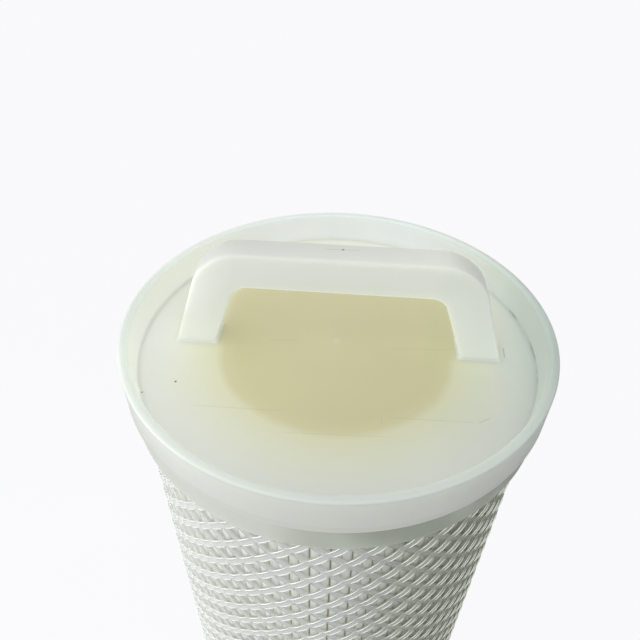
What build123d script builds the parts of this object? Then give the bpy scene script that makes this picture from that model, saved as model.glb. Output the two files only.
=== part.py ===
# A high flow pleated filter cartridge with a closed, handled end cap and an open, spigoted end cap.
#
# The cartridge stands on its spigot. Its axis is Z, the origin is at the centre of the spigot's
# end face, and the handle spans X over the closed end. Sizes are in millimetres.

import os
from math import cos, pi, radians, sin

from build123d import *

os.makedirs("parts", exist_ok=True)

# Driving dimensions: overall
CAP_OUTER_DIAMETER = 165.0
BODY_LENGTH = 508.0
CLEARANCE = 0.3

# Closed end cap: a dished plate inside a raised rim, over a stepped skirt
RIM_WALL = 3.4
RIM_DRAFT_STEP = 1.4
PLATE_RECESS = 13.0
PLATE_THICKNESS = 5.0
FLANGE_HEIGHT = 15.4
SKIRT_STEP = 1.4
SKIRT_WALL = 2.0
SKIRT_HEIGHT = 27.0
RIM_OUTER_ROUND = 1.2
RIM_INNER_ROUND = 1.4
SKIRT_EDGE_ROUND = 0.6
GATE_DIAMETER = 4.4
GATE_HEIGHT = 0.3

# Handle moulded with the closed end cap
HANDLE_DEPTH = 12.0
HANDLE_HEIGHT = 42.2
HANDLE_BAR = 14.4
HANDLE_FOOT_TO_DISH = 13.7
HANDLE_FOOT_WIDTH = 15.4
HANDLE_LEG_WIDTH = 11.5
HANDLE_SPLAY = 14.0
HANDLE_SHOULDER_RADIUS = 19.0
HANDLE_THROAT_RADIUS = 6.0
HANDLE_EDGE_ROUND = 1.2
HANDLE_FOOT_FILLET = 2.0

# Core: two moulded cage sections, joined by a tongue in a rebate
CORE_WALL = 3.5
WINDOWS_AROUND = 8
WINDOW_ROWS = 4
WINDOW_RIB = 9.0
WINDOW_RING = 13.0
TONGUE_HEIGHT = 4.0
TONGUE_WALL = 1.6

# Collars under both end caps that centre the core
COLLAR_HEIGHT = 8.0
COLLAR_WALL = 3.0
COLLAR_TO_BORE = 3.2

# Pleat pack: three sheets folded together
PLEAT_COUNT = 134
PLEAT_GAP = 0.4
OUTER_SHEET = 0.25
MEDIA_SHEET = 1.1
INNER_SHEET = 0.2
ROOT_HEIGHT = 2.6

# Outer netting
NET_THICKNESS = 1.4

# Open end cap and its spigot
OPEN_PLATE_THICKNESS = 6.0
OPEN_FLANGE_HEIGHT = 12.0
OPEN_SKIRT_HEIGHT = 22.0
SPIGOT_DIAMETER = 96.4
SPIGOT_WALL = 8.2
SPIGOT_LENGTH = 32.0
SPIGOT_LEAD_IN = 2.0
SPIGOT_FILLET = 2.0
SEAL_SECTION = 5.33
SEAL_CLEARANCE = 0.15
SEAL_STANDING_OUT = 1.28
SEAL_SIDE_ROOM = 0.835
GROOVE_TO_SHOULDER = 10.0
GROOVE_SPACING = 11.0

# Radii that follow
cap_radius = CAP_OUTER_DIAMETER / 2
dish_top_radius = cap_radius - RIM_WALL
dish_floor_radius = dish_top_radius - RIM_DRAFT_STEP
skirt_outer = cap_radius - SKIRT_STEP
skirt_inner = skirt_outer - SKIRT_WALL
net_outer = skirt_inner - CLEARANCE
net_inner = net_outer - NET_THICKNESS
pleat_crest = net_inner - CLEARANCE
spigot_outer = SPIGOT_DIAMETER / 2
spigot_inner = spigot_outer - SPIGOT_WALL
collar_inner = spigot_inner + COLLAR_TO_BORE
collar_outer = collar_inner + COLLAR_WALL
core_inner = collar_outer + CLEARANCE
core_outer = core_inner + CORE_WALL
pleat_root = core_outer + CLEARANCE
seal_outer = spigot_outer + SEAL_STANDING_OUT
seal_inner = seal_outer - SEAL_SECTION
groove_floor = seal_inner - SEAL_CLEARANCE
groove_width = SEAL_SECTION + 2 * SEAL_SIDE_ROOM

# Heights that follow
open_face = SPIGOT_LENGTH
rim_top = open_face + BODY_LENGTH
plate_top = rim_top - PLATE_RECESS
plate_under = plate_top - PLATE_THICKNESS
pack_bottom = open_face + OPEN_PLATE_THICKNESS
pack_length = plate_under - pack_bottom
section_length = pack_length / 2
section_joint = pack_bottom + section_length
upper_groove = open_face - GROOVE_TO_SHOULDER
groove_middles = (upper_groove - GROOVE_SPACING, upper_groove)


def circles_at(part, radius, height):
    """Circular edges of a part that lie on the axis at a given radius and height."""
    tolerance = 0.01
    return [
        edge
        for edge in part.edges().filter_by(GeomType.CIRCLE)
        if abs(edge.radius - radius) < tolerance and abs(edge.arc_center.Z - height) < tolerance
    ]


# Handle: a bridge with splayed legs, rounded shoulders and a rounded throat
handle_top = plate_top + HANDLE_HEIGHT
bar_under = handle_top - HANDLE_BAR
foot_outer = dish_floor_radius - HANDLE_FOOT_TO_DISH
foot_inner = foot_outer - HANDLE_FOOT_WIDTH
leg_outer = foot_outer - HANDLE_SPLAY
leg_inner = leg_outer - HANDLE_LEG_WIDTH
with BuildPart() as handle:
    with BuildSketch(Plane.XZ.offset(-HANDLE_DEPTH / 2)):
        with BuildLine():
            Polyline(
                (-foot_outer, plate_top),
                (-leg_outer, handle_top),
                (leg_outer, handle_top),
                (foot_outer, plate_top),
                (foot_inner, plate_top),
                (leg_inner, bar_under),
                (-leg_inner, bar_under),
                (-foot_inner, plate_top),
                close=True,
            )
        make_face()
        shoulders = vertices().group_by(Axis.Y)[-1]
        fillet(shoulders, radius=HANDLE_SHOULDER_RADIUS)
        throat = [v for v in vertices() if abs(v.Y - bar_under) < CLEARANCE / 2]
        fillet(throat, radius=HANDLE_THROAT_RADIUS)
    extrude(amount=HANDLE_DEPTH)
    rims = faces().filter_by(Axis.Y).edges() - faces().group_by(Axis.Z)[0].edges()
    fillet(rims, radius=HANDLE_EDGE_ROUND)

# Closed end cap: rim, dished plate, stepped skirt, core collar, gate mark and handle in one moulding
with BuildPart() as closed_end_cap:
    with BuildSketch(Plane.XZ):
        with BuildLine():
            Polyline(
                (0, plate_top),
                (dish_floor_radius, plate_top),
                (dish_top_radius, rim_top),
                (cap_radius, rim_top),
                (cap_radius, rim_top - FLANGE_HEIGHT),
                (skirt_outer, rim_top - FLANGE_HEIGHT),
                (skirt_outer, rim_top - SKIRT_HEIGHT),
                (skirt_inner, rim_top - SKIRT_HEIGHT),
                (skirt_inner, plate_under),
                (collar_outer, plate_under),
                (collar_outer, plate_under - COLLAR_HEIGHT),
                (collar_inner, plate_under - COLLAR_HEIGHT),
                (collar_inner, plate_under),
                (0, plate_under),
                close=True,
            )
        make_face()
    revolve(axis=Axis.Z)
    fillet(circles_at(closed_end_cap, cap_radius, rim_top), radius=RIM_OUTER_ROUND)
    fillet(circles_at(closed_end_cap, dish_top_radius, rim_top), radius=RIM_INNER_ROUND)
    fillet(
        circles_at(closed_end_cap, skirt_outer, rim_top - SKIRT_HEIGHT),
        radius=SKIRT_EDGE_ROUND,
    )
    add(handle.part)
    foot_edges = [
        edge
        for edge in edges().filter_by(GeomType.LINE).filter_by_position(
            Axis.Z, plate_top - CLEARANCE / 2, plate_top + CLEARANCE / 2
        )
    ]
    fillet(foot_edges, radius=HANDLE_FOOT_FILLET)
    with BuildSketch(Plane.XY.offset(plate_top)):
        Circle(GATE_DIAMETER / 2)
    extrude(amount=GATE_HEIGHT)
closed_end_cap.part.label = "closed_end_cap"

# Open end cap: flange, skirt, core collar and the spigot with its seal grooves in one moulding
with BuildPart() as open_end_cap:
    with BuildSketch(Plane.XZ):
        with BuildLine():
            Polyline(
                (spigot_inner, 0),
                (spigot_outer, 0),
                (spigot_outer, open_face),
                (cap_radius, open_face),
                (cap_radius, open_face + OPEN_FLANGE_HEIGHT),
                (skirt_outer, open_face + OPEN_FLANGE_HEIGHT),
                (skirt_outer, open_face + OPEN_SKIRT_HEIGHT),
                (skirt_inner, open_face + OPEN_SKIRT_HEIGHT),
                (skirt_inner, pack_bottom),
                (collar_outer, pack_bottom),
                (collar_outer, pack_bottom + COLLAR_HEIGHT),
                (collar_inner, pack_bottom + COLLAR_HEIGHT),
                (collar_inner, pack_bottom),
                (spigot_inner, pack_bottom),
                close=True,
            )
        make_face()
    revolve(axis=Axis.Z)
    fillet(circles_at(open_end_cap, cap_radius, open_face), radius=RIM_OUTER_ROUND)
    fillet(circles_at(open_end_cap, spigot_outer, open_face), radius=SPIGOT_FILLET)
    chamfer(circles_at(open_end_cap, spigot_outer, 0), length=SPIGOT_LEAD_IN)
    for groove_middle in groove_middles:
        with BuildSketch(Plane.XZ):
            with Locations(((groove_floor + seal_outer) / 2, groove_middle)):
                Rectangle(seal_outer - groove_floor, groove_width)
        revolve(axis=Axis.Z, mode=Mode.SUBTRACT)
open_end_cap.part.label = "open_end_cap"

# O-rings in the two grooves
seal_rings = []
for groove_middle, name in zip(groove_middles, ("o_ring_lower", "o_ring_upper")):
    with BuildPart() as o_ring:
        with BuildSketch(Plane.XZ):
            with Locations(((seal_inner + seal_outer) / 2, groove_middle)):
                Circle(SEAL_SECTION / 2)
        revolve(axis=Axis.Z)
    o_ring.part.label = name
    seal_rings.append(o_ring)


def core_section(bottom, foot_on_tongue, tongue_on_top):
    """Moulded cage: a tube with rows of square windows, and a joint tongue or rebate at an end."""
    tongue_outer = core_inner + TONGUE_WALL
    with BuildPart() as section:
        with BuildSketch(Plane.XY.offset(bottom)):
            Circle(core_outer)
            Circle(core_inner, mode=Mode.SUBTRACT)
        extrude(amount=section_length)
        pitch = section_length / WINDOW_ROWS
        rows = [bottom + pitch * (row + 0.5) for row in range(WINDOW_ROWS)]
        window_width = 2 * pi * core_outer / WINDOWS_AROUND - WINDOW_RIB
        for turn in range(WINDOWS_AROUND):
            outward = Plane.XZ.rotated((0, 0, 360 * turn / WINDOWS_AROUND))
            with BuildSketch(outward):
                with Locations(*[(0, height) for height in rows]):
                    Rectangle(window_width, pitch - WINDOW_RING)
            extrude(amount=core_outer + CLEARANCE, mode=Mode.SUBTRACT)
        if tongue_on_top:
            with BuildSketch(Plane.XY.offset(bottom + section_length)):
                Circle(tongue_outer)
                Circle(core_inner, mode=Mode.SUBTRACT)
            extrude(amount=TONGUE_HEIGHT)
        if foot_on_tongue:
            with BuildSketch(Plane.XY.offset(bottom)):
                Circle(tongue_outer + CLEARANCE)
            extrude(amount=TONGUE_HEIGHT + CLEARANCE, mode=Mode.SUBTRACT)
    return section


core_section_lower = core_section(pack_bottom, foot_on_tongue=False, tongue_on_top=True)
core_section_lower.part.label = "core_section_lower"
core_section_upper = core_section(section_joint, foot_on_tongue=True, tongue_on_top=False)
core_section_upper.part.label = "core_section_upper"


# Pleat pack. Each surface between two sheets is a zigzag ring. A fold is flat over a width that
# is given either side of its middle, or sharp where that width is zero.
def zigzag(crest_radius, crest_half_width, root_radius, root_half_width):
    """Closed zigzag ring of points, with one crest and one root for each pleat."""
    turn = 360 / PLEAT_COUNT
    folds = ((crest_radius, crest_half_width, 0), (root_radius, root_half_width, turn / 2))
    points = []
    for pleat in range(PLEAT_COUNT):
        for radius, half_width, lead in folds:
            angle = radians(pleat * turn + lead)
            for side in (-half_width, half_width) if half_width else (0,):
                points.append(
                    (
                        radius * cos(angle) - side * sin(angle),
                        radius * sin(angle) + side * cos(angle),
                    )
                )
    return points


crest_pitch = 2 * pi * pleat_crest / PLEAT_COUNT
root_pitch = 2 * pi * pleat_root / PLEAT_COUNT
crest_half = (crest_pitch - PLEAT_GAP) / 2
media_crest = pleat_crest - OUTER_SHEET
media_root = pleat_root + INNER_SHEET

surfaces = [
    zigzag(pleat_crest, crest_half, pleat_root + ROOT_HEIGHT, 0),
    zigzag(media_crest, crest_half - OUTER_SHEET, pleat_root + ROOT_HEIGHT - OUTER_SHEET, OUTER_SHEET),
    zigzag(media_crest - MEDIA_SHEET, 0, media_root, root_pitch / 2 - 2 * INNER_SHEET),
    zigzag(media_crest - 2 * MEDIA_SHEET, 0, pleat_root, root_pitch / 2 - INNER_SHEET / 2),
]


def folded_sheet(outside, inside):
    """Sheet between two zigzag rings, as long as the pack."""
    with BuildPart() as sheet:
        with BuildSketch(Plane.XY.offset(pack_bottom)):
            with BuildLine():
                Polyline(*outside, close=True)
            make_face()
            with BuildLine():
                Polyline(*inside, close=True)
            make_face(mode=Mode.SUBTRACT)
        extrude(amount=pack_length)
    return sheet


outer_drainage_layer = folded_sheet(surfaces[0], surfaces[1])
outer_drainage_layer.part.label = "outer_drainage_layer"
filter_media = folded_sheet(surfaces[1], surfaces[2])
filter_media.part.label = "filter_media"
inner_drainage_layer = folded_sheet(surfaces[2], surfaces[3])
inner_drainage_layer.part.label = "inner_drainage_layer"

# Outer netting, as the plain sleeve that its strands fill
with BuildPart() as outer_net:
    with BuildSketch(Plane.XY.offset(pack_bottom)):
        Circle(net_outer)
        Circle(net_inner, mode=Mode.SUBTRACT)
    extrude(amount=pack_length)
outer_net.part.label = "outer_net"

for piece in (
    closed_end_cap,
    open_end_cap,
    *seal_rings,
    core_section_lower,
    core_section_upper,
    outer_drainage_layer,
    filter_media,
    inner_drainage_layer,
    outer_net,
):
    export_step(piece.part, f"parts/{piece.part.label}.step")
    print(piece.part.label, "volume", round(piece.part.volume), "mm3")
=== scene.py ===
# %% [markdown]
# # A high flow filter cartridge
# The object is a pleated water filter, more than half a metre long and as wide as a side plate.
# Milky polypropylene caps close both ends, a bridge handle is moulded into the upper cap, and a
# clear extruded netting holds the white pleats between them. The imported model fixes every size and
# place, so the lesson starts by loading it, and each new piece takes its sizes from it.

import math

import bmesh
import bpy
from mathutils import Matrix, Vector, noise


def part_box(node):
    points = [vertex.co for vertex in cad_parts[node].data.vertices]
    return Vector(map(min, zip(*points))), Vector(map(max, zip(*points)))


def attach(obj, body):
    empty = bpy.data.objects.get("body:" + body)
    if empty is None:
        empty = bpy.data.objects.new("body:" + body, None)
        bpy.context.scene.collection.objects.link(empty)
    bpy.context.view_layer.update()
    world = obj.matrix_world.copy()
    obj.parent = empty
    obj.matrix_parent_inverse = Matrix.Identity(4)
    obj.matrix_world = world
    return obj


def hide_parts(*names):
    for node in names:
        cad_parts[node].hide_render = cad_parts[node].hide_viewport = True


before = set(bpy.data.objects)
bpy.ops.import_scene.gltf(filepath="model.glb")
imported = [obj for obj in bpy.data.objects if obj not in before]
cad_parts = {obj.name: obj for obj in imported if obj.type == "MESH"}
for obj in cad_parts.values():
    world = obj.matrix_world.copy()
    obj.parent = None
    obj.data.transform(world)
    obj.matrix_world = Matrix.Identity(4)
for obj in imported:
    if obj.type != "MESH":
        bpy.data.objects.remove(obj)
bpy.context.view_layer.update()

# %% [markdown]
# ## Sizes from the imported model
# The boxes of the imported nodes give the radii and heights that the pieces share. What a box can't
# say, such as how deep the dish is, is a value with a name, written once in millimetres.

# %% Sizes shared by the pieces
MM = 0.001
SAME = 0.001 * MM
NEAR = 0.01 * MM
HANDLE_HEIGHT = 42.2 * MM
cap_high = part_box("closed_end_cap")[1]
foot_skirt_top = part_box("open_end_cap")[1].z
net_low, net_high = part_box("outer_net")
cap_radius = cap_high.x
net_outer = net_high.x
handle_top = cap_high.z
plate_top = handle_top - HANDLE_HEIGHT
rim_top = plate_top + 13.0 * MM
skirt_bottom = rim_top - 27.0 * MM
flange_bottom = rim_top - 15.4 * MM
dish_floor = cap_radius - 4.8 * MM
print("rim top", round(rim_top, 4), "netting radius", round(net_outer, 4))


# %% [markdown]
# ## Two helpers
# A finished bmesh becomes an object that rides with the object's one body. Its faces are smooth,
# and edges that turn sharply stay crisp.

# %% Helper: a bmesh becomes a piece
def make_piece(name, mesh_builder, material, stands_for=(), crisp=35):
    """Object of that name from a bmesh, smooth shaded, that rides with the cartridge."""
    mesh = bpy.data.meshes.new(name)
    mesh_builder.to_mesh(mesh)
    mesh_builder.free()
    mesh.polygons.foreach_set("use_smooth", [True] * len(mesh.polygons))
    mesh.set_sharp_from_angle(angle=math.radians(crisp))
    mesh.materials.append(material)
    piece = bpy.data.objects.new(name, mesh)
    bpy.context.collection.objects.link(piece)
    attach(piece, "root")
    if stands_for:
        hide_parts(*stands_for)
    print(name, "has", len(mesh.polygons), "faces")
    return piece


# %% Helper: a turned shape from its section
def turn_section(section, steps=192, rounds=()):
    """Closed bmesh turned round Z from (radius, height) points.

    Each of rounds is the number of a point, the radius of its round and the round's segments.
    """
    lathe = bmesh.new()
    corners = [lathe.verts.new((radius, 0, height)) for radius, height in section]
    edges = [lathe.edges.new(pair) for pair in zip(corners, corners[1:])]
    if section[0][0] > 0:
        edges.append(lathe.edges.new((corners[-1], corners[0])))
    bmesh.ops.spin(
        lathe,
        geom=corners + edges,
        cent=(0, 0, 0),
        axis=(0, 0, 1),
        angle=math.tau,
        steps=steps,
        use_merge=True,
    )
    bmesh.ops.remove_doubles(lathe, verts=lathe.verts, dist=SAME)
    for index, radius, segments in rounds:
        ring_radius, ring_height = section[index]
        ring = [
            edge
            for edge in lathe.edges
            if all(
                abs(math.hypot(v.co.x, v.co.y) - ring_radius) < NEAR
                and abs(v.co.z - ring_height) < NEAR
                for v in edge.verts
            )
        ]
        bmesh.ops.bevel(
            lathe,
            geom=ring,
            offset=radius,
            affect="EDGES",
            segments=segments,
            profile=0.5,
            material=-1,
        )
    bmesh.ops.recalc_face_normals(lathe, faces=lathe.faces)
    return lathe


# %% [markdown]
# ## Shorthand for materials
# A procedural material is a tree of small nodes: noise, sums, products, ramps and mixes. Each helper
# adds one of them and hands back its output, so that a finish below reads as a few lines of sums.
# Masks are 1 where a thing is and 0 elsewhere, and a product of masks is where all of them are.


# %% Helper: start a material
def start_material(name):
    """New material with its node tree, its shader and its Object coordinates."""
    material = bpy.data.materials.new(name)
    material.use_nodes = True
    tree = material.node_tree
    shader = tree.nodes["Principled BSDF"]
    place = tree.nodes.new("ShaderNodeTexCoord").outputs["Object"]
    return material, tree, shader, place


def set_inputs(shader, values):
    """Values that are the same all over the surface, set on the shader's own sockets."""
    for name, value in values.items():
        shader.inputs[name].default_value = value


# %% Helper: sums and products
def add_math(tree, operation, first, second=0.0):
    """One Math node on sockets or numbers."""
    node = tree.nodes.new("ShaderNodeMath")
    node.operation = operation
    for socket, value in zip(node.inputs, (first, second)):
        if isinstance(value, (int, float)):
            socket.default_value = value
        else:
            tree.links.new(value, socket)
    return node.outputs["Value"]


def product(tree, *factors):
    """Product of sockets and numbers."""
    result = factors[0]
    for factor in factors[1:]:
        result = add_math(tree, "MULTIPLY", result, factor)
    return result


def clamped(socket):
    """The same Math output, held between 0 and 1."""
    socket.node.use_clamp = True
    return socket


def above(tree, value, limit):
    """Mask of where the value is over the limit."""
    return add_math(tree, "GREATER_THAN", value, limit)


def below(tree, value, limit):
    """Mask of where the value is under the limit."""
    return add_math(tree, "LESS_THAN", value, limit)


# %% Helper: where a point lies
def split_axes(tree, vector):
    """X, Y and Z of a vector."""
    axes = tree.nodes.new("ShaderNodeSeparateXYZ")
    tree.links.new(vector, axes.inputs["Vector"])
    return axes.outputs["X"], axes.outputs["Y"], axes.outputs["Z"]


def from_axis(tree, x, y):
    """Distance from the cartridge's axis."""
    squares = [add_math(tree, "POWER", side, 2.0) for side in (x, y)]
    return add_math(tree, "SQRT", add_math(tree, "ADD", *squares))


def share_along(tree, coordinate, half):
    """Share from 0 at minus half to 1 at plus half of a coordinate."""
    return add_math(tree, "ADD", add_math(tree, "DIVIDE", coordinate, 2 * half), 0.5)


# %% Helper: colours
def grey(value):
    """Colour with three equal parts."""
    return (value, value, value)


def paint(red, green, blue):
    """Linear colour from a screen colour of 0 to 255."""
    return tuple(
        (v / 255 / 12.92) if v / 255 <= 0.04045 else ((v / 255 + 0.055) / 1.055) ** 2.4
        for v in (red, green, blue)
    )


def add_ramp(tree, factor, stops):
    """Colour ramp from (position, colour) stops."""
    node = tree.nodes.new("ShaderNodeValToRGB")
    ramp = node.color_ramp.elements
    while len(ramp) < len(stops):
        ramp.new(0.5)
    for element, (position, colour) in zip(ramp, stops):
        element.position = position
        element.color = (*colour, 1)
    tree.links.new(factor, node.inputs["Fac"])
    return node.outputs["Color"]


MIX_SOCKETS = (0, 6, 7)
MIX_COLOUR = 2


def add_mix(tree, factor, first, second, blend="MIX"):
    """Mix of two colours, given as sockets or triples."""
    node = tree.nodes.new("ShaderNodeMix")
    node.data_type = "RGBA"
    node.blend_type = blend
    for index, value in zip(MIX_SOCKETS, (factor, first, second)):
        socket = node.inputs[index]
        if isinstance(value, (int, float)):
            socket.default_value = value
        elif isinstance(value, tuple):
            socket.default_value = (*value, 1)
        else:
            tree.links.new(value, socket)
    return node.outputs[MIX_COLOUR]


def tinted(tree, colour, tint):
    """One colour multiplied by another."""
    return add_mix(tree, 1.0, colour, tint, "MULTIPLY")


# %% Helper: grain, bumps and marks
def add_noise(tree, place, scale, detail=3.0, roughness=0.5, stretch=None):
    """Noise between 0 and 1 on Object coordinates, stretched along the axes if asked."""
    if stretch:
        mapping = tree.nodes.new("ShaderNodeMapping")
        mapping.inputs["Scale"].default_value = stretch
        tree.links.new(place, mapping.inputs["Vector"])
        place = mapping.outputs["Vector"]
    texture = tree.nodes.new("ShaderNodeTexNoise")
    texture.inputs["Scale"].default_value = scale
    texture.inputs["Detail"].default_value = detail
    texture.inputs["Roughness"].default_value = roughness
    tree.links.new(place, texture.inputs["Vector"])
    return texture.outputs["Fac"]


def add_bump(tree, shader, height, strength, distance):
    """Bump on the shader's normal from a height socket."""
    node = tree.nodes.new("ShaderNodeBump")
    node.inputs["Strength"].default_value = strength
    node.inputs["Distance"].default_value = distance
    tree.links.new(height, node.inputs["Height"])
    tree.links.new(node.outputs["Normal"], shader.inputs["Normal"])


def add_scratch(tree, place, start, end, half_width, depth):
    """Mask of a fine straight mark between two points of the plate, in millimetres."""
    taper = 9.0
    run = Vector(end) - Vector(start)
    mapping = tree.nodes.new("ShaderNodeMapping")
    mapping.vector_type = "TEXTURE"
    mapping.inputs["Location"].default_value = (start[0] * MM, start[1] * MM, 0)
    mapping.inputs["Rotation"].default_value = (0, 0, math.atan2(run.y, run.x))
    mapping.inputs["Scale"].default_value = (run.length * MM, half_width * MM, 1)
    tree.links.new(place, mapping.inputs["Vector"])
    along, aside, _ = split_axes(tree, mapping.outputs["Vector"])
    left = add_math(tree, "SUBTRACT", 1.0, along)
    ends = clamped(product(tree, along, left, taper))
    middle = clamped(add_math(tree, "SUBTRACT", 1.0, add_math(tree, "ABSOLUTE", aside)))
    return product(tree, ends, middle, depth)


def add_speck(tree, place, point, size, depth, level=plate_top):
    """Mask of a round speck on the plate or at another level, in millimetres."""
    soft_edge = 1.4
    away = tree.nodes.new("ShaderNodeVectorMath")
    away.operation = "DISTANCE"
    away.inputs[1].default_value = (point[0] * MM, point[1] * MM, level)
    tree.links.new(place, away.inputs[0])
    share = add_math(tree, "DIVIDE", away.outputs["Value"], size * MM)
    return product(tree, clamped(add_math(tree, "SUBTRACT", soft_edge, share)), depth)


# %% [markdown]
# ## The cap's plastic
# Natural polypropylene is a milky plastic: light enters it, scatters and comes out nearby, which is
# subsurface scattering. Where the plate closes the hollow core, the dark space behind it shows
# through as a tan disc. Real light transport through a thin wall is slow to render, so the colour
# is a function of the distance from the axis and the height, with a little cloudiness over it. A
# mild glow stands for light that comes through the walls, and the colour fades away from the window.


# %% Parts of the cap
def parts_of_cap(tree, place):
    """Sockets that say where a point of the cap lies, and masks of the cap's parts."""
    x, y, height = split_axes(tree, place)
    radius = from_axis(tree, x, y)
    at_rim = above(tree, radius, dish_floor - 1.0 * MM)
    raised = above(tree, height, plate_top + 1.5 * MM)
    beside = above(tree, radius, cap_radius - 1.5 * MM)
    outside = above(tree, radius, cap_radius - 3 * MM)
    return {
        "x": x,
        "y": y,
        "height": height,
        "radius": radius,
        "rightward": share_along(tree, x, cap_radius),
        "backward": share_along(tree, y, cap_radius),
        "plate": below(tree, height, plate_top + 0.6 * MM),
        "rim_top": product(tree, above(tree, height, rim_top - 1.5 * MM), at_rim),
        "skirt": product(tree, below(tree, height, flange_bottom - 0.1 * MM), outside),
        "side": product(tree, below(tree, height, rim_top - 1.0 * MM), beside),
        "dish_wall": product(tree, at_rim, raised, below(tree, radius, cap_radius - 2.6 * MM)),
        "handle": product(tree, below(tree, radius, 68 * MM), raised),
    }


# %% Colour of the moulding
def disc_colour(tree, at, cloud):
    """Colour of the plate: tan over the core's bore, reaching back behind the handle as painted shade,
    greenish round it, pale at the rim.
    """
    drift = product(tree, add_math(tree, "SUBTRACT", cloud, 0.5), 2.4 * MM)
    # Painted shade: the tan reaches further back behind the handle, where the handle's shade falls on
    # the plate.
    reach = add_ramp(
        tree,
        at["backward"],
        [
            (0.32, grey(0.5)),
            (0.45, grey(0.6)),
            (0.57, grey(0.45)),
            (0.67, grey(0.15)),
            (0.75, grey(0.1)),
        ],
    )
    reach = product(tree, add_math(tree, "SUBTRACT", reach, 0.5), 20 * MM)
    edge = add_math(tree, "ADD", at["radius"], add_math(tree, "ADD", drift, reach))
    return add_ramp(
        tree,
        add_math(tree, "DIVIDE", edge, cap_radius),
        [
            (0.0, paint(210, 206, 176)),
            (0.04, paint(204, 200, 164)),
            (0.50, paint(203, 199, 160)),
            (0.56, paint(206, 202, 164)),
            (0.60, paint(215, 215, 187)),
            (0.70, paint(216, 218, 198)),
            (0.84, paint(218, 220, 211)),
            (0.93, paint(220, 222, 215)),
        ],
    )


def moulding_colour(tree, place, at):
    """Colour of the whole cap: cloudy white with its disc, painted shade on the rim's top, and patchy
    painted shade on the thin skirt to the right.
    """
    cloud = add_noise(tree, place, 26.0, 3.0)
    colour = add_ramp(tree, cloud, [(0.3, paint(221, 224, 217)), (0.7, paint(225, 228, 222))])
    # Painted shade: the rim's top, which faces the light, is painted a little greyer than the rest.
    colour = add_mix(tree, at["rim_top"], colour, paint(216, 222, 216))
    colour = add_mix(tree, at["plate"], colour, disc_colour(tree, at, cloud))
    # Painted shade: the thin skirt darkens in patches towards the right, for the dark pleats behind it
    # and the side away from the window.
    patches = add_noise(tree, place, 34.0, 2.0, 0.5, (1.0, 1.0, 0.6))
    thin = add_ramp(tree, patches, [(0.38, paint(172, 179, 165)), (0.6, paint(199, 204, 194))])
    skirt_shade_share = add_ramp(
        tree,
        at["rightward"],
        [(0.2, grey(0.0)), (0.40, grey(0.1)), (0.5, grey(0.9)), (0.7, grey(1.0))],
    )
    return add_mix(tree, product(tree, at["skirt"], skirt_shade_share), colour, thin)


# %% Marks on the cap
def corner_dark_line(tree, place, at):
    """Mask of a broken dark line in the plate's corner, at the right front."""
    half_width = 0.36 * MM
    rise_rightward = 12.0
    rise_frontward = 60.0
    strength = 0.65
    off_corner = add_math(tree, "ABSOLUTE", add_math(tree, "SUBTRACT", at["radius"], dish_floor))
    off_share = add_math(tree, "DIVIDE", off_corner, half_width)
    line = clamped(add_math(tree, "SUBTRACT", 1.0, off_share))
    low = below(tree, at["height"], plate_top + 1.2 * MM)
    patches = add_noise(tree, place, 55.0, 4.0, 0.6)
    broken = add_ramp(tree, patches, [(0.45, grey(0.0)), (0.62, grey(1.0))])
    from_left = add_math(tree, "ADD", at["x"], 20 * MM)
    from_back = add_math(tree, "SUBTRACT", 40 * MM, at["y"])
    right_side = clamped(product(tree, from_left, rise_rightward))
    near_side = clamped(product(tree, from_back, rise_frontward))
    return product(tree, line, low, product(tree, broken, near_side), right_side, strength)


def plate_marks(tree, place, at):
    """Mask of the plate's scratches, its specks and the dark line in its corner."""
    # A scratch is its two ends, its half width and its depth; a speck is its place, size and depth.
    scratches = [
        ((-50, -39.2), (-16, -38.7), 0.3, 0.14),
        ((17.8, -38.3), (52.1, -37.7), 0.3, 0.14),
        ((51.5, -37.9), (56, -35.1), 0.35, 0.25),
        ((17.9, -38.0), (18.1, -42.3), 0.25, 0.12),
        # The next entry is a short dark line where the right foot meets the plate.
        ((66.5, 2.8), (66.1, -3.4), 0.35, 0.45),
        ((-17.4, -48.3), (22.5, -46.9), 0.3, 0.12),
        ((19.4, -2.7), (47.5, -0.3), 0.35, 0.12),
        ((-28, -2.0), (-14.5, -0.8), 0.35, 0.1),
    ]
    specks = [((-58.1, -28.3), 0.44, 1.0), ((-68.6, -34.9), 0.4, 0.6)]
    dark_marks = corner_dark_line(tree, place, at)
    for scratch in scratches:
        dark_marks = add_math(tree, "MAXIMUM", dark_marks, add_scratch(tree, place, *scratch))
    for speck in specks:
        dark_marks = add_math(tree, "MAXIMUM", dark_marks, add_speck(tree, place, *speck))
    under_top = below(tree, at["height"], plate_top + 1.3 * MM)
    over_base = above(tree, at["height"], plate_top - 0.5 * MM)
    return product(tree, dark_marks, under_top, over_base)


def handle_marks(tree, place, at):
    """Mask of the fine scratch and the speck on the handle's top."""
    scratch = add_scratch(tree, place, (-6, 1.6), (8, 2.2), 0.25, 0.25)
    speck = add_speck(tree, place, (0.8, 1.9), 0.5, 0.8, handle_top)
    on_top = above(tree, at["height"], handle_top - 1 * MM)
    return product(tree, add_math(tree, "MAXIMUM", scratch, speck), on_top)


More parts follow.
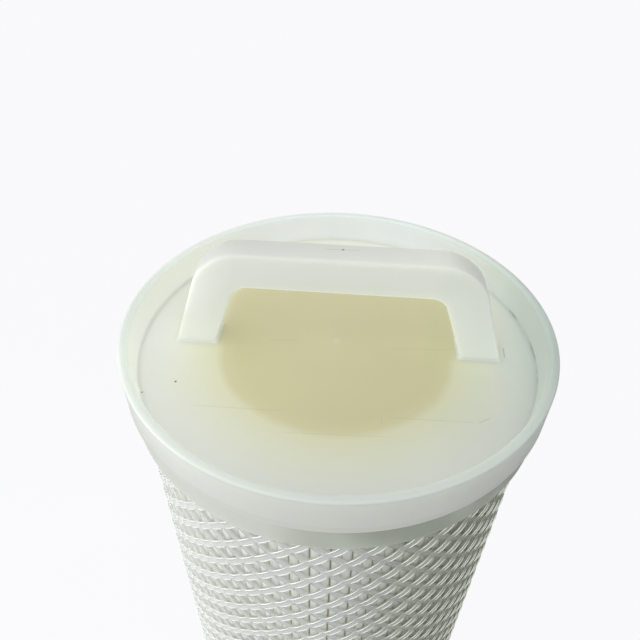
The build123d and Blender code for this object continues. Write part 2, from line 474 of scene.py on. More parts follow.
# %% Light on the cap
def cap_fades(tree, at):
    """Tints that darken the cap to the right, away from the window, and its right front."""
    to_right = add_ramp(
        tree,
        at["rightward"],
        [
            (0.0, grey(0.9)),
            (0.04, grey(1.0)),
            (0.5, (0.96, 0.965, 0.965)),
            (0.7, (0.94, 0.95, 0.95)),
            (0.86, (0.87, 0.89, 0.885)),
            (0.93, (0.77, 0.81, 0.80)),
            (1.0, (0.61, 0.66, 0.65)),
        ],
    )
    to_front = add_ramp(
        tree,
        at["backward"],
        [
            (0.0, grey(0.80)),
            (0.13, grey(0.87)),
            (0.28, grey(0.88)),
            (0.4, grey(0.93)),
            (0.5, grey(1.0)),
        ],
    )
    to_front = add_mix(tree, at["side"], to_front, grey(1.0))
    front_share = add_ramp(
        tree,
        at["rightward"],
        [(0.1, grey(0.0)), (0.5, grey(0.7)), (0.8, grey(1.0))],
    )
    return to_right, add_mix(tree, front_share, grey(1.0), to_front)


def handle_painted_shade(tree, at):
    """Painted shade on the handle, from left to right."""
    return add_ramp(
        tree,
        at["rightward"],
        [(0.18, grey(0.965)), (0.27, grey(0.88)), (0.5, grey(0.925)), (0.68, grey(1.0))],
    )


def cap_glow(tree, at):
    """Share of its colour that each part of the cap glows with, for the light within the wall."""
    glow = add_ramp(tree, at["backward"], [(0.0, grey(0.32)), (0.8, grey(0.32)), (0.95, grey(0.36))])
    side = add_ramp(tree, at["rightward"], [(0.0, grey(0.07)), (0.25, grey(0.17)), (0.7, grey(0.24))])
    glow = add_mix(tree, at["side"], glow, side)
    wall = add_ramp(tree, at["rightward"], [(0.1, grey(0.42)), (0.35, grey(0.32))])
    far_share = add_ramp(tree, at["backward"], [(0.8, grey(0.0)), (0.93, grey(1.0))])
    wall = add_mix(tree, far_share, wall, (0.37, 0.37, 0.45))
    glow = add_mix(tree, at["dish_wall"], glow, wall)
    # On the handle the glow is painted light by facing: faces turned to the front glow a little more,
    # faces turned up a little less.
    normal = tree.nodes.new("ShaderNodeNewGeometry").outputs["Normal"]
    _, facing_back, facing_up = split_axes(tree, normal)
    faces = add_math(tree, "ADD", product(tree, facing_back, -0.08), product(tree, facing_up, -0.06))
    return add_mix(tree, at["handle"], glow, add_math(tree, "ADD", faces, 0.33))


# %% Milky moulded polypropylene
def milky_polypropylene():
    """Cap plastic: tan over the core, greenish round it, blue-white at the rim and the handle."""
    material, tree, shader, place = start_material("milky_polypropylene")
    at = parts_of_cap(tree, place)
    colour = moulding_colour(tree, place, at)
    for tint in cap_fades(tree, at):
        colour = tinted(tree, colour, tint)
    dark_marks = add_math(tree, "MAXIMUM", plate_marks(tree, place, at), handle_marks(tree, place, at))
    colour = add_mix(tree, dark_marks, colour, paint(96, 92, 74))
    # Painted shade on the handle: darkest towards its left leg, and none on the right.
    colour = add_mix(tree, at["handle"], colour, tinted(tree, colour, handle_painted_shade(tree, at)))
    tree.links.new(colour, shader.inputs["Base Color"])
    tree.links.new(tinted(tree, colour, cap_glow(tree, at)), shader.inputs["Emission Color"])
    set_inputs(
        shader,
        {
            "Emission Strength": 1.0,
            "Roughness": 0.36,
            "Specular IOR Level": 0.35,
            "Subsurface Weight": 1.0,
            "Subsurface Radius": (1.0, 1.0, 0.85),
            "Subsurface Scale": 4 * MM,
        },
    )
    add_bump(tree, shader, add_noise(tree, place, 700.0, 3.0), 0.06, 0.4 * MM)
    return material


cap_plastic = milky_polypropylene()
print("nodes in the cap's plastic:", len(cap_plastic.node_tree.nodes))

# %% [markdown]
# ## The closed end cap
# One moulding: a rim round a dished plate, a flange, a skirt that is a step smaller, and the bridge
# handle. The round part is turned from its section with spin, and the handle is a flat face that is
# rounded, extruded and bevelled. A boolean joins the two, as one moulding has no seam.

# %% Turn the cap's round part
GATE_MARK = [(0.0, 0.3), (1.2, 0.24), (2.2, 0.0)]
COLLAR_OUTER = 46.2 * MM
COLLAR_INNER = 43.2 * MM
rim_inner = cap_radius - 3.4 * MM
skirt_outer = cap_radius - 1.4 * MM
skirt_inner = skirt_outer - 2.0 * MM
plate_under = plate_top - 5.0 * MM
collar_end = plate_under - 8 * MM
cap_section = [(radius * MM, plate_top + rise * MM) for radius, rise in GATE_MARK]
cap_section += [
    (dish_floor, plate_top),
    (rim_inner, rim_top),
    (cap_radius, rim_top),
    (cap_radius, flange_bottom),
    (skirt_outer, flange_bottom),
    (skirt_outer, skirt_bottom),
    (skirt_inner, skirt_bottom),
    (skirt_inner, plate_under),
    (COLLAR_OUTER, plate_under),
    (COLLAR_OUTER, collar_end),
    (COLLAR_INNER, collar_end),
    (COLLAR_INNER, plate_under),
    (0, plate_under),
]
# Each is a corner's number, the radius of its round and the round's segments.
cap_rounds = [
    (3, 1.0 * MM, 3),
    (4, 1.4 * MM, 5),
    (5, 0.7 * MM, 4),
    (6, 0.6 * MM, 3),
    (7, 0.4 * MM, 2),
    (8, 0.6 * MM, 3),
]
cap_mesh = turn_section(cap_section, rounds=cap_rounds)
print("cap section turned:", len(cap_mesh.faces), "faces")

# %% Sizes of the handle
HANDLE_HALF_DEPTH = 6.0 * MM
SHOULDER_HALF = 50.0 * MM
SHOULDER_ROUND = 13.6 * MM
FOOT_HALF = 64.0 * MM
THROAT_HALF = 38.5 * MM
THROAT_ROUND = 4.4 * MM
THROAT_FOOT_HALF = 48.6 * MM
BAR_HEIGHT = 14.4 * MM
EDGE_ROUND = 1.3 * MM
FOOT_FLARE = 2.0 * MM
FOOT_SINK = 0.5 * MM
FLARE_STEPS = 5
bar_under = plate_top + HANDLE_HEIGHT - BAR_HEIGHT
foot_level = plate_top + FOOT_FLARE
print("room for fingers under the bar, mm:", round((bar_under - plate_top) / MM, 1))


# %% Shape the handle
def handle_outline():
    """Corners of the handle seen from the front, as X and Z, down to where its feet flare."""
    foot_share = FOOT_FLARE / HANDLE_HEIGHT
    throat_share = FOOT_FLARE / (bar_under - plate_top)
    foot_outer = FOOT_HALF + (SHOULDER_HALF - FOOT_HALF) * foot_share
    foot_inner = THROAT_FOOT_HALF + (THROAT_HALF - THROAT_FOOT_HALF) * throat_share
    return [
        (-foot_outer, foot_level),
        (-SHOULDER_HALF, handle_top),
        (SHOULDER_HALF, handle_top),
        (foot_outer, foot_level),
        (foot_inner, foot_level),
        (THROAT_HALF, bar_under),
        (-THROAT_HALF, bar_under),
        (-foot_inner, foot_level),
    ]


def handle_shape():
    """Bridge handle with splayed legs, rounded shoulders, soft edges and flared feet."""
    bridge = bmesh.new()
    corners = [bridge.verts.new((x, -HANDLE_HALF_DEPTH, z)) for x, z in handle_outline()]
    bridge.faces.new(corners)
    shoulders = [corners[1], corners[2]]
    throat = [corners[5], corners[6]]
    for group, reach, segments in ((shoulders, SHOULDER_ROUND, 12), (throat, THROAT_ROUND, 8)):
        bmesh.ops.bevel(
            bridge,
            geom=group,
            offset=reach,
            affect="VERTICES",
            segments=segments,
            profile=0.5,
            material=-1,
        )
    front = bridge.faces[:]
    made = bmesh.ops.extrude_face_region(bridge, geom=front)
    back = [v for v in made["geom"] if isinstance(v, bmesh.types.BMVert)]
    bmesh.ops.translate(bridge, verts=back, vec=(0, 2 * HANDLE_HALF_DEPTH, 0))
    bmesh.ops.recalc_face_normals(bridge, faces=bridge.faces)
    rims = [
        edge
        for edge in bridge.edges
        if abs(edge.verts[0].co.y - edge.verts[1].co.y) < SAME
        and not all(abs(v.co.z - foot_level) < SAME for v in edge.verts)
    ]
    print("handle edges to round:", len(rims))
    bmesh.ops.bevel(
        bridge,
        geom=rims,
        offset=EDGE_ROUND,
        affect="EDGES",
        segments=4,
        profile=0.5,
        material=-1,
    )
    flare_feet(bridge)
    return bridge


def flare_feet(bridge):
    """Runs each foot down to the plate with a round flare, and a little way into it."""
    for side in (-1, 1):
        foot = [
            face
            for face in bridge.faces
            if face.normal.z < -0.9
            and face.calc_center_median().x * side > 0
            and abs(face.calc_center_median().z - foot_level) < NEAR
        ]
        reach = 0.0
        centre = sum((face.calc_center_median() for face in foot), Vector()) / len(foot)
        half = max(abs(v.co.x - centre.x) for face in foot for v in face.verts)
        for step in range(1, FLARE_STEPS + 2):
            angle = min(step, FLARE_STEPS) / FLARE_STEPS * math.pi / 2
            wanted = FOOT_FLARE * (1 - math.cos(angle))
            level = foot_level - FOOT_FLARE * math.sin(angle)
            if step > FLARE_STEPS:
                level -= FOOT_SINK
            made = bmesh.ops.extrude_face_region(bridge, geom=foot)
            moved = [v for v in made["geom"] if isinstance(v, bmesh.types.BMVert)]
            bmesh.ops.delete(bridge, geom=foot, context="FACES_ONLY")
            for v in moved:
                out = v.co - centre
                share_x = min(abs(out.x) / half, 1)
                share_y = min(abs(out.y) / HANDLE_HALF_DEPTH, 1)
                v.co.x += math.copysign(share_x * (wanted - reach), out.x)
                v.co.y += math.copysign(share_y * (wanted - reach), out.y)
                v.co.z = level
            reach = wanted
            foot = [f for f in made["geom"] if isinstance(f, bmesh.types.BMFace)]
    bmesh.ops.recalc_face_normals(bridge, faces=bridge.faces)


handle_mesh = handle_shape()
print("handle shaped:", len(handle_mesh.faces), "faces")


# %% Join handle and cap
def join_shapes(first, second):
    """One closed bmesh from two overlapping ones."""
    objects = []
    for shape in (first, second):
        mesh = bpy.data.meshes.new("half")
        shape.to_mesh(mesh)
        shape.free()
        piece = bpy.data.objects.new("half", mesh)
        bpy.context.collection.objects.link(piece)
        objects.append(piece)
    union = objects[0].modifiers.new("union", "BOOLEAN")
    union.operation = "UNION"
    union.solver = "EXACT"
    union.object = objects[1]
    graph = bpy.context.evaluated_depsgraph_get()
    joined = bmesh.new()
    joined.from_object(objects[0], graph)
    for piece in objects:
        mesh = piece.data
        bpy.data.objects.remove(piece)
        bpy.data.meshes.remove(mesh)
    return joined


cap_whole = join_shapes(cap_mesh, handle_mesh)
open_edges = sum(1 for edge in cap_whole.edges if not edge.is_manifold)
print("cap and handle joined, open edges:", open_edges)
make_piece("closed_cap_moulding", cap_whole, cap_plastic, ["closed_end_cap"])

# %% [markdown]
# ## The pleats
# Three sheets are folded together: a drainage sheet outside, the filter media, and a drainage sheet
# inside. Crests lean together in pairs, so every second gap is wider. One fold's line is a few
# points in polar form, a loop repeats it round the axis, and the ring is bridged down the pack in
# steps. An array of one fold would be shorter, but real folds waver a little, and here each one can.
# All three sheets share the same wavering, so that their folds stay in step.

# %% Sizes of the folds
PLEATS = 134
FIRST_GAP = math.radians(-98.05)
PAIR_LEAN = 0.03
WAVER = 0.03
WAVER_PER_PLEAT = 0.37
WAVER_PER_LEVEL = 0.21
WIDTH_WAVER = 0.02
CREST_WAVER = 0.25 * MM
CREST_ROUND = 0.6 * MM
CREST_SHARES = (-1.0, -0.92, -0.6, 0.0, 0.6, 0.92, 1.0)
WAVER_LEVELS = 20
FOLD_CRISP = 50
pleat_crest = net_outer - 1.7 * MM
pleat_turn = math.tau / PLEATS
pack_low = net_low.z
pack_high = net_high.z
print("one fold at the crests, mm:", round(pleat_turn * pleat_crest / MM, 2))


# %% Fold a sheet
def fold_line(level, crest_radius, root_radius, half_share):
    """Points of the folded ring at one level, each a radius and an angle."""
    points = []
    for pleat in range(PLEATS):
        pair = 1 if pleat % 2 == 0 else -1
        seed = Vector((pleat * WAVER_PER_PLEAT, level * WAVER_PER_LEVEL, 4.0))
        waver = WAVER * noise.noise(seed)
        middle = FIRST_GAP + (pleat + 0.5 + PAIR_LEAN * pair + waver) * pleat_turn
        half = pleat_turn * (half_share + WIDTH_WAVER * noise.noise(seed + Vector((9, 0, 0))))
        crest = crest_radius - CREST_WAVER * abs(noise.noise(seed + Vector((0, 5, 0))))
        for share in CREST_SHARES:
            drop = CREST_ROUND * (1 - math.sqrt(max(0.0, 1 - share * share)))
            points.append((crest - drop, middle + half * share))
        points.append((root_radius, FIRST_GAP + (pleat + 1) * pleat_turn))
    return points


def folded_sheet(crest_radius, root_radius, half_share, levels):
    """One sheet of the pack, folded and wavering."""
    sheet = bmesh.new()
    last = []
    for level in range(levels + 1):
        height = pack_low + (pack_high - pack_low) * level / levels
        line = fold_line(level * WAVER_LEVELS / levels, crest_radius, root_radius, half_share)
        ring = [
            sheet.verts.new((radius * math.cos(angle), radius * math.sin(angle), height))
            for radius, angle in line
        ]
        edges = [sheet.edges.new(pair) for pair in zip(ring, ring[1:] + ring[:1])]
        if last:
            bmesh.ops.bridge_loops(sheet, edges=last + edges)
        last = edges
    bmesh.ops.recalc_face_normals(sheet, faces=sheet.faces)
    return sheet


# %% [markdown]
# ## The sheet's cloth
# Spun polypropylene is white and matt, with a fine felted grain. Deep between the folds light
# bounces many times and warms, so the colour turns tan as the radius falls. The window's light also
# soaks through the pack from the left. To follow it through the felt would render slowly, so a small
# glow stands for it: strong on the lit side, tan in the folds, and almost gone on the right, where
# the white turns olive.


# %% Light that soaks through the pack
def soaked_light(tree, rightward):
    """Tint of the white, glow of the surface and glow in the folds, all from left to right."""
    tint = add_ramp(
        tree,
        rightward,
        [
            (0.56, grey(1.0)),
            (0.72, (0.86, 0.88, 0.80)),
            (0.85, (0.66, 0.69, 0.58)),
            (1.0, (0.58, 0.61, 0.51)),
        ],
    )
    surface = add_ramp(
        tree,
        rightward,
        [
            (0.0, grey(0.19)),
            (0.15, grey(0.15)),
            (0.3, grey(0.09)),
            (0.5, grey(0.09)),
            (0.66, grey(0.03)),
        ],
    )
    folds = add_ramp(
        tree,
        rightward,
        [
            (0.05, (0.26, 0.26, 0.23)),
            (0.3, (0.17, 0.168, 0.14)),
            (0.5, (0.10, 0.098, 0.08)),
            (0.7, (0.045, 0.045, 0.037)),
            (0.95, (0.03, 0.03, 0.025)),
        ],
    )
    return tint, surface, folds


# %% White nonwoven
def nonwoven():
    """Matt white felt, tan in the depth of the folds."""
    material, tree, shader, place = start_material("white_nonwoven")
    x, y, _ = split_axes(tree, place)
    shaded_depth = 4 * MM
    depth = add_math(tree, "SUBTRACT", pleat_crest, from_axis(tree, x, y))
    depth = add_math(tree, "DIVIDE", depth, shaded_depth)
    felt = add_noise(tree, place, 500.0, 4.0, 0.7, (1.0, 1.0, 0.5))
    white = add_ramp(tree, felt, [(0.3, paint(230, 232, 225)), (0.7, paint(244, 245, 240))])
    warm = add_ramp(tree, depth, [(0.16, grey(1.0)), (0.4, (0.62, 0.58, 0.46))])
    deep = add_ramp(tree, depth, [(0.12, grey(0.0)), (0.35, grey(1.0))])
    tint, surface, folds = soaked_light(tree, share_along(tree, x, net_outer))
    colour = tinted(tree, tinted(tree, white, warm), tint)
    tree.links.new(colour, shader.inputs["Base Color"])
    tree.links.new(add_mix(tree, deep, surface, folds), shader.inputs["Emission Color"])
    set_inputs(shader, {"Emission Strength": 1.0, "Roughness": 0.9, "Sheen Weight": 0.2})
    add_bump(tree, shader, felt, 0.3, 0.3 * MM)
    return material


# %% Fold the three sheets
felt_white = nonwoven()
# Name, node, inset of the crests, radius of the roots, half a crest as a share of a fold, levels.
sheets = [
    ("outer_sheet_folds", "outer_drainage_layer", 0.0, 54.0, 0.44, 20),
    ("media_folds", "filter_media", 0.4, 52.2, 0.40, 10),
    ("inner_sheet_folds", "inner_drainage_layer", 1.0, 50.4, 0.35, 10),
]
for name, node, inward, root, half_share, levels in sheets:
    folds = folded_sheet(pleat_crest - inward * MM, root * MM, half_share, levels)
    piece = make_piece(name, folds, felt_white, [node], FOLD_CRISP)

# %% [markdown]
# ## The netting
# The netting is extruded in one go: two layers of flat strands, wound opposite ways, that weld where
# they cross. A strand is a small section that spin carries round the axis while it climbs, and a
# ring of copies makes the layer. A bevelled curve could follow the same path, but spin keeps the
# section facing outwards and leaves points that can move: each strand narrows and flattens at its
# welds.

# %% Sizes of the netting
STRANDS = 39
STEPS_PER_CELL = 4
STRAND_HALF = 1.65 * MM
STRAND_CRISP = 95
HALF_CELL_RISE = 5.976 * MM
WELD_TURN = math.radians(4.25)
weld_height = rim_top + 5.25 * MM
outer_strand_radius = net_outer - 0.85 * MM
inner_strand_radius = net_outer - 1.4 * MM
net_run_low = foot_skirt_top - 4 * MM
net_run_high = skirt_bottom + 4 * MM
half_cell_turn = math.pi / STRANDS
arc = net_outer * half_cell_turn
strand_angle = math.atan2(HALF_CELL_RISE, arc)
weld_spacing = math.hypot(HALF_CELL_RISE, arc)
print("strand angle, degrees:", round(math.degrees(strand_angle), 1))

# %% Shape of a strand at its welds
WELD_STRETCH = 0.11
WELD_SHARPNESS = 4
WELD_PINCH = 0.04
WELD_DIP = {1: 0.2 * MM, -1: 0.0}
FLAT_OUT = 0.45 * MM
BEAD_FOOT = 0.6 * MM
BEAD_RISE = 0.25 * MM


# %% Wind one strand
def wind_strand(section, radius, hand):
    """One strand as a mesh, with attributes for its width, its welds and its beads."""
    first = math.floor((net_run_low - weld_height) / HALF_CELL_RISE)
    cells = math.ceil((net_run_high - weld_height) / HALF_CELL_RISE) - first
    rise, run = math.sin(strand_angle), math.cos(strand_angle)
    strand = bmesh.new()
    verts = []
    for across, out in section:
        turn = WELD_TURN - hand * across * rise / net_outer
        height = weld_height + first * HALF_CELL_RISE + across * run
        reach = radius + out
        verts.append(strand.verts.new((reach * math.cos(turn), reach * math.sin(turn), height)))
    face = strand.faces.new(verts)
    bmesh.ops.spin(
        strand,
        geom=[face],
        cent=(0, 0, 0),
        axis=(0, 0, 1),
        dvec=(0, 0, HALF_CELL_RISE / STEPS_PER_CELL),
        angle=hand * half_cell_turn * cells,
        steps=cells * STEPS_PER_CELL,
    )
    across_of = strand.verts.layers.float.new("across")
    weld_of = strand.verts.layers.float.new("weld")
    bead_of = strand.verts.layers.float.new("bead")
    for v in strand.verts:
        height = v.co.z - weld_height - first * HALF_CELL_RISE
        expected = hand * height / HALF_CELL_RISE * half_cell_turn
        turn = math.atan2(v.co.y, v.co.x) - WELD_TURN
        turn += math.tau * round((expected - turn) / math.tau)
        sideways = hand * turn * net_outer
        along = sideways * run + height * rise
        across = height * run - sideways * rise
        phase = along / weld_spacing
        along -= WELD_STRETCH * weld_spacing * math.sin(math.tau * phase)
        weld = (0.5 + 0.5 * math.cos(math.tau * along / weld_spacing)) ** WELD_SHARPNESS
        v[across_of] = max(-1.0, min(across / STRAND_HALF, 1.0))
        v[weld_of] = weld
        out = math.hypot(v.co.x, v.co.y) - radius
        v[bead_of] = max(0.0, min((out - BEAD_FOOT) / BEAD_RISE, 1.0))
        out -= max(0.0, out - FLAT_OUT) * weld + WELD_DIP[hand] * weld
        across *= 1 - WELD_PINCH * weld
        angle = WELD_TURN + hand * (along * run - across * rise) / net_outer
        v.co.x = (radius + out) * math.cos(angle)
        v.co.y = (radius + out) * math.sin(angle)
        v.co.z = weld_height + first * HALF_CELL_RISE + along * rise + across * run
    bmesh.ops.recalc_face_normals(strand, faces=strand.faces)
    mesh = bpy.data.meshes.new("strand")
    strand.to_mesh(mesh)
    strand.free()
    return mesh


def wind_layer(section, radius, hand):
    """All strands of one layer."""
    strand = wind_strand(section, radius, hand)
    layer = bmesh.new()
    for _ in range(STRANDS):
        layer.from_mesh(strand)
        strand.transform(Matrix.Rotation(2 * half_cell_turn, 4, "Z"))
    bpy.data.meshes.remove(strand)
    return layer


# %% [markdown]
# ## The netting's plastic
# The strands are clear and glossy. An outer strand has a flat middle and a bead along each edge,
# painted as a highlight with a mild glow that stops at each weld. An inner strand shows as a grey
# band with painted shade lines along it. Truly clear plastic needs many bounces of light, so the
# strands let only a little through, and attributes stored while winding place that painted light.


# %% Clear strand plastic
def stored(tree, name):
    """Value that was stored on the strand's vertices while winding."""
    node = tree.nodes.new("ShaderNodeAttribute")
    node.attribute_name = name
    return node.outputs["Fac"]


def strand_plastic(name, shading_bands, weld_colour, beads, alpha):
    """Clear extruded plastic with painted highlights and shade lines across the strand, and painted
    bead highlights that stop at welds.
    """
    material, tree, shader, place = start_material(name)
    streak_shift = 0.07
    share = product(tree, add_math(tree, "ADD", stored(tree, "across"), 1.0), 0.5)
    streaks = add_math(tree, "SUBTRACT", add_noise(tree, place, 260.0, 3.0), 0.5)
    share = add_math(tree, "ADD", share, product(tree, streaks, streak_shift))
    # Painted highlights and painted shade lines across the strand, placed by the stored share across
    # it.
    colour = add_ramp(tree, share, shading_bands)
    bead = add_ramp(tree, stored(tree, "bead"), [(0.1, grey(0.0)), (0.5, grey(1.0))])
    open_run = add_ramp(tree, stored(tree, "weld"), [(0.34, grey(1.0)), (0.5, grey(0.0))])
    bead = product(tree, bead, open_run, beads)
    colour = add_mix(tree, open_run, weld_colour, colour)
    # Painted highlight: the beads are near white between the welds.
    colour = add_mix(tree, bead, colour, paint(250, 251, 247))
    rightward = share_along(tree, split_axes(tree, place)[0], net_outer)
    tint, surface, _ = soaked_light(tree, rightward)
    tree.links.new(tinted(tree, colour, tint), shader.inputs["Base Color"])
    # Painted highlight glow on the beads: stronger to the right, and weaker on the upper bead than the
    # lower.
    shine = add_ramp(tree, rightward, [(0.1, grey(0.12)), (0.45, (0.5, 0.5, 0.48))])
    lower_bead_glow = add_ramp(tree, share, [(0.3, grey(1.0)), (0.7, grey(0.66))])
    shine = add_mix(tree, bead, grey(0.0), tinted(tree, shine, lower_bead_glow))
    tree.links.new(add_mix(tree, 1.0, shine, surface, "ADD"), shader.inputs["Emission Color"])
    roughness = add_ramp(tree, open_run, [(0.0, grey(0.5)), (1.0, grey(0.22))])
    tree.links.new(roughness, shader.inputs["Roughness"])
    opacity = add_math(tree, "ADD", product(tree, bead, 1 - alpha), alpha)
    tree.links.new(opacity, shader.inputs["Alpha"])
    set_inputs(
        shader,
        {
            "Emission Strength": 1.0,
            "IOR": 1.49,
            "Subsurface Weight": 0.5,
            "Subsurface Radius": (1.0, 1.0, 1.0),
            "Subsurface Scale": 1.2 * MM,
        },
    )
    return material


# %% The outer layer of strands
# A section's points are distances across the strand and outwards from its radius.
outer_section = [
    (-1.6 * MM, 0.25 * MM),
    (-STRAND_HALF, 0.55 * MM),
    (-1.46 * MM, 0.85 * MM),
    (-1.12 * MM, 0.6 * MM),
    (1.12 * MM, 0.6 * MM),
    (1.46 * MM, 0.85 * MM),
    (STRAND_HALF, 0.55 * MM),
    (1.6 * MM, 0.25 * MM),
]
# Painted shade lines at the very edges of an outer strand, and painted highlights and darker stripes
# along it.
outer_shading_bands = [
    (0.02, paint(186, 191, 185)),
    (0.06, paint(226, 229, 224)),
    (0.2, paint(216, 220, 214)),
    (0.35, paint(226, 229, 224)),
    (0.65, paint(228, 231, 226)),
    (0.8, paint(216, 220, 214)),
    (0.94, paint(226, 229, 224)),
    (0.98, paint(186, 191, 185)),
]
make_piece(
    "net_outer_strands",
    wind_layer(outer_section, outer_strand_radius, 1),
    strand_plastic("clear_outer_strand", outer_shading_bands, paint(226, 230, 224), 1.0, 0.92),
    ["outer_net"],
    STRAND_CRISP,
)

# %% The inner layer of strands
inner_section = [
    (-STRAND_HALF, 0.05 * MM),
    (-1.55 * MM, 0.6 * MM),
    (-0.55 * MM, 0.72 * MM),
    (0.55 * MM, 0.72 * MM),
    (1.55 * MM, 0.6 * MM),
    (STRAND_HALF, 0.05 * MM),
]
# Painted shade lines at the edges of an inner strand, and two fine ones along its middle.
inner_shading_bands = [
    (0.0, paint(192, 198, 192)),
    (0.1, paint(222, 226, 220)),
    (0.28, paint(232, 235, 230)),
    (0.38, paint(206, 212, 206)),
    (0.5, paint(236, 239, 234)),
    (0.62, paint(210, 216, 210)),
    (0.86, paint(230, 233, 228)),
    (1.0, paint(198, 204, 198)),
]
make_piece(
    "net_inner_strands",
    wind_layer(inner_section, inner_strand_radius, -1),
    strand_plastic("clear_inner_strand", inner_shading_bands, paint(222, 226, 220), 0.0, 0.72),
    [],
    STRAND_CRISP,
)

# %% [markdown]
# ## The open end, the core and the seals
# The lower end is a second cap with a spigot and two rubber seals, and a cage core stands inside the
# pleats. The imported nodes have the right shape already, so making them again would add nothing, and
# only their finishes are new.


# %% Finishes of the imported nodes
def plain_moulding(name, light, dark, roughness):
    """Moulded plastic with faint flow clouds and a fine surface."""
    material, tree, shader, place = start_material(name)
    cloud = add_noise(tree, place, 45.0, 3.0)
    tree.links.new(add_ramp(tree, cloud, [(0.3, dark), (0.7, light)]), shader.inputs["Base Color"])
    set_inputs(
        shader,
        {
            "Roughness": roughness,
            "Subsurface Weight": 0.4,
            "Subsurface Radius": (1.0, 1.0, 0.8),
            "Subsurface Scale": 4 * MM,
        },
    )
    add_bump(tree, shader, add_noise(tree, place, 700.0, 2.0), 0.1, 0.4 * MM)
    return material


def seal_rubber():
    """Black rubber with a faint bloom."""
    material, tree, shader, place = start_material("seal_rubber")
    bloom = add_noise(tree, place, 220.0, 4.0)
    black = add_ramp(tree, bloom, [(0.35, (0.012, 0.012, 0.013)), (0.75, (0.03, 0.03, 0.032))])
    tree.links.new(black, shader.inputs["Base Color"])
    set_inputs(shader, {"Roughness": 0.55})
    add_bump(tree, shader, bloom, 0.15, 0.2 * MM)
    return material


foot_plastic = plain_moulding("open_cap_plastic", paint(224, 229, 222), paint(214, 220, 211), 0.38)
core_plastic = plain_moulding("core_plastic", paint(214, 218, 208), paint(202, 207, 196), 0.45)
rubber = seal_rubber()
finishes = {
    "open_end_cap": foot_plastic,
    "core_section_lower": core_plastic,
    "core_section_upper": core_plastic,
    "o_ring_lower": rubber,
    "o_ring_upper": rubber,
}
for node, material in finishes.items():
    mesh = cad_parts[node].data
    mesh.materials.clear()
    mesh.materials.append(material)
print("finished nodes:", ", ".join(sorted(finishes)))

# %% [markdown]
# ## Floor, light and camera
# A pale floor, a soft lamp low on the left as in the photograph, and a pale sky that is brighter
# overhead and on the lamp's side. The camera stands where the photograph's outlines put it: close
# above the cap, looking down on it. Floor and sky are plain white for the camera alone, so the white
# background puts no light on the object.


# %% Pale floor
def pale_floor():
    """Floor that is plain white to the camera and keeps the object's shadow."""
    half_size = 6.0
    white_share = 0.88
    sheet = bmesh.new()
    bmesh.ops.create_grid(sheet, x_segments=1, y_segments=1, size=half_size)
    mesh = bpy.data.meshes.new("floor")
    sheet.to_mesh(mesh)
    sheet.free()
    floor = bpy.data.objects.new("floor", mesh)
    bpy.context.collection.objects.link(floor)
    material, tree, shader, place = start_material("pale_floor")
    grain = add_noise(tree, place, 8.0, 3.0)
    pale = add_ramp(tree, grain, [(0.3, (0.34, 0.34, 0.35)), (0.7, (0.37, 0.37, 0.38))])
    tree.links.new(pale, shader.inputs["Base Color"])
    set_inputs(shader, {"Roughness": 0.9})
    glow = tree.nodes.new("ShaderNodeEmission")
    glow.inputs["Color"].default_value = (1.04, 1.04, 1.055, 1)
    ray = tree.nodes.new("ShaderNodeLightPath").outputs
    seen = add_math(tree, "MAXIMUM", ray["Is Camera Ray"], ray["Is Transmission Ray"])
    blend = tree.nodes.new("ShaderNodeMixShader")
    tree.links.new(product(tree, seen, white_share), blend.inputs["Fac"])
    tree.links.new(shader.outputs["BSDF"], blend.inputs[1])
    tree.links.new(glow.outputs["Emission"], blend.inputs[2])
    tree.links.new(blend.outputs["Shader"], tree.nodes["Material Output"].inputs["Surface"])
    mesh.materials.append(material)
    print("floor laid, metres across:", 2 * half_size)


pale_floor()


# %% Soft light
def soft_lamp(name, place, target, size, power):
    """Square area lamp that looks at a point."""
    data = bpy.data.lights.new(name, "AREA")
    data.size = size
    data.energy = power
    lamp = bpy.data.objects.new(name, data)
    lamp.location = place
    lamp.rotation_euler = (Vector(target) - Vector(place)).to_track_quat("-Z", "Y").to_euler()
    bpy.context.collection.objects.link(lamp)
    print("lamp", name, "gives", power, "watts")


soft_lamp("window", (-0.72, -0.24, 0.30), (0, 0, 0.32), 0.4, 2.4)


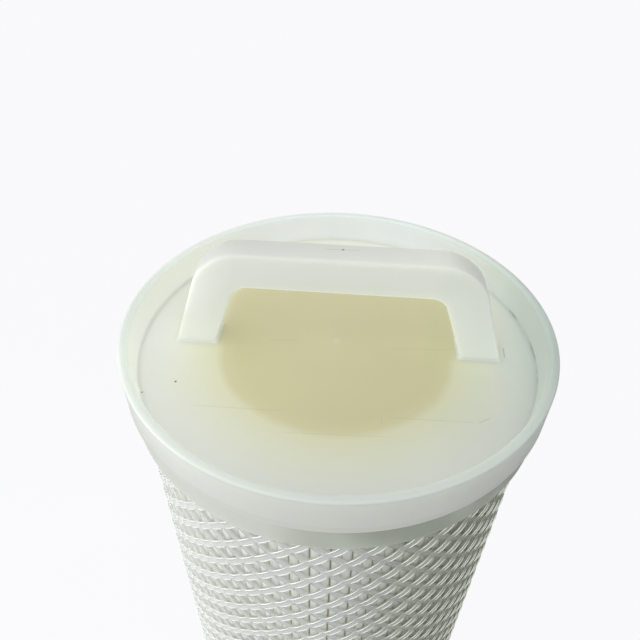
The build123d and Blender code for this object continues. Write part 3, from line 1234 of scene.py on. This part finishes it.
def studio_sky():
    """Pale sky that is brighter overhead and towards the window's side."""
    towards_window = (-0.34, -0.25, 0.47)
    level_light = 0.23
    zenith_light = 0.46
    seen_light = 0.94
    world = bpy.data.worlds.new("sky")
    bpy.context.scene.world = world
    world.use_nodes = True
    tree = world.node_tree
    sky = tree.nodes["Background"]
    place = tree.nodes.new("ShaderNodeTexCoord").outputs["Generated"]
    facing = tree.nodes.new("ShaderNodeVectorMath")
    facing.operation = "DOT_PRODUCT"
    facing.inputs[1].default_value = towards_window
    tree.links.new(place, facing.inputs[0])
    height = split_axes(tree, place)[2]
    zenith = product(tree, add_math(tree, "POWER", height, 2.0), zenith_light)
    slope = add_math(tree, "ADD", facing.outputs["Value"], level_light)
    strength = add_math(tree, "MAXIMUM", add_math(tree, "ADD", slope, zenith), 0.0)
    ray = tree.nodes.new("ShaderNodeLightPath").outputs
    seen = product(tree, ray["Is Camera Ray"], seen_light)
    sky.inputs["Color"].default_value = (1, 1, 1, 1)
    tree.links.new(add_math(tree, "MAXIMUM", strength, seen), sky.inputs["Strength"])


studio_sky()


# %% Camera
def photograph_camera():
    """Camera fitted to the photograph's outlines: place, down tilt, heading, roll and focal length."""
    eye = Vector((5.635 * MM, -171.684 * MM, rim_top + 138.989 * MM))
    down, heading, roll = (math.radians(v) for v in (39.412, -4.187, 0.984))
    focal_pixels = 568.366
    picture_pixels = 640
    ahead = Vector(
        (
            math.sin(heading) * math.cos(down),
            math.cos(heading) * math.cos(down),
            -math.sin(down),
        )
    )
    level = Vector((math.cos(heading), -math.sin(heading), 0))
    upright = level.cross(ahead)
    across = level * math.cos(roll) + upright * math.sin(roll)
    upward = -level * math.sin(roll) + upright * math.cos(roll)
    turn = Matrix((across, upward, -ahead)).transposed()
    data = bpy.data.cameras.new("camera")
    data.sensor_width = 36.0
    data.lens = focal_pixels / picture_pixels * data.sensor_width
    data.clip_start = 0.01
    camera = bpy.data.objects.new("camera", data)
    camera.matrix_world = Matrix.Translation(eye) @ turn.to_4x4()
    bpy.context.collection.objects.link(camera)
    bpy.context.scene.camera = camera
    print("camera's lens, mm:", round(data.lens, 2))


photograph_camera()
bpy.context.scene.view_settings.view_transform = "Standard"
